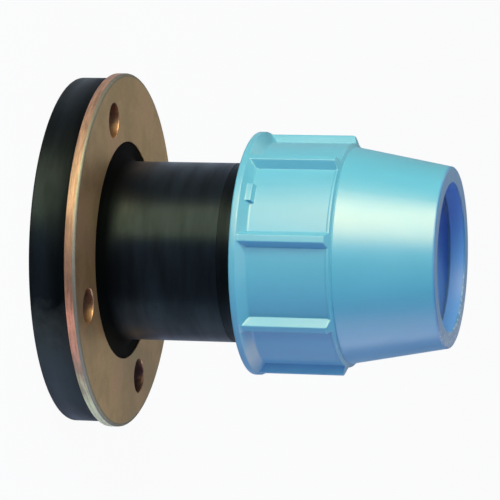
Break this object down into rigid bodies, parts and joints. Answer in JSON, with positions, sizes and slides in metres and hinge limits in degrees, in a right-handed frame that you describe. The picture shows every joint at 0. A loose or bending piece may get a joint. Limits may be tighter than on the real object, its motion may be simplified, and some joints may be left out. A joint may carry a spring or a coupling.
{
  "type": "flange adaptor",
  "caption": "Compression flange adaptor: a black flanged body with a loose steel backing ring, and a light blue ribbed clamp nut that screws on over a plain pipe end.",
  "frame": {"origin": "centre of the flange's sealing face, which the part stands on", "axes": "+Z along the pipe axis from the flange to the nut's mouth; the bolt holes lie at 45 degrees between X and Y"},
  "size_m": [0.185, 0.185, 0.198],
  "materials": {
    "body_plastic": "black moulded polypropylene, satin",
    "ring_steel": "flat steel plate, zinc plated and yellow passivated",
    "nut_plastic": "light blue moulded polypropylene, satin",
    "grip_plastic": "natural white acetal",
    "bush_plastic": "black moulded polypropylene",
    "seal_rubber": "black nitrile rubber"
  },
  "bodies": {
    "body": {"fitting_body": "body_plastic", "packing_bush": "bush_plastic", "seal_ring": "seal_rubber"},
    "ring": {"backing_ring": "ring_steel"},
    "gripper": {"grip_ring": "grip_plastic"},
    "nut": {"clamp_nut": "nut_plastic"}
  },
  "joints": [
    {"name": "ring_turn", "type": "hinge", "parent": "body", "child": "ring", "pos_m": [0, 0, 0.0221], "axis": [0, 0, 1], "continuous": true},
    {"name": "grip_slide", "type": "slide", "parent": "body", "child": "gripper", "axis": [0, 0, 1], "range_m": [0, 0.02]},
    {"name": "nut_turn", "type": "hinge", "parent": "gripper", "child": "nut", "pos_m": [0, 0, 0.12], "axis": [0, 0, 1], "range_deg": [0, 900]}
  ],
  "couplings": [
    {"joint": "grip_slide", "follows": "nut_turn", "m_per_rad": 0.001273}
  ]
}
